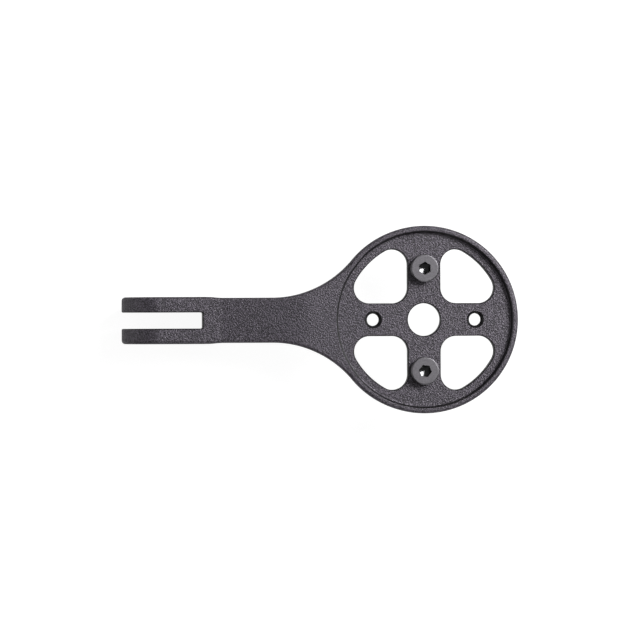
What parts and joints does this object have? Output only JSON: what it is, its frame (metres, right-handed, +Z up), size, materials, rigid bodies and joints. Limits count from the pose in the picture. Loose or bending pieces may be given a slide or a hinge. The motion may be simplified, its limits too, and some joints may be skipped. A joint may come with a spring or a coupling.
{
  "type": "computer mount arm",
  "caption": "Out-front computer mount arm: a two-prong fork, a slim arm and a round windowed seat with low-head screws in its tapped holes.",
  "frame": {"origin": "under the middle of the arm's overall length and width, at the height of the fork's underside", "axes": "+X along the arm from the fork to the seat, +Y across the arm, +Z up out of the seat's pocket"},
  "size_m": [0.0774, 0.0366, 0.0172],
  "materials": {
    "body": "bead-blasted black anodising",
    "screws": "blackened, satin"
  },
  "bodies": {
    "mount": {"mount_body": "body"},
    "upper_screw": {"screw_upper": "screws"},
    "lower_screw": {"screw_lower": "screws"}
  },
  "joints": [
    {"name": "upper_screw_lift", "type": "slide", "parent": "mount", "child": "upper_screw", "axis": [0, 0, 1], "range_m": [0, 0.008]},
    {"name": "lower_screw_lift", "type": "slide", "parent": "mount", "child": "lower_screw", "axis": [0, 0, 1], "range_m": [0, 0.008]}
  ]
}
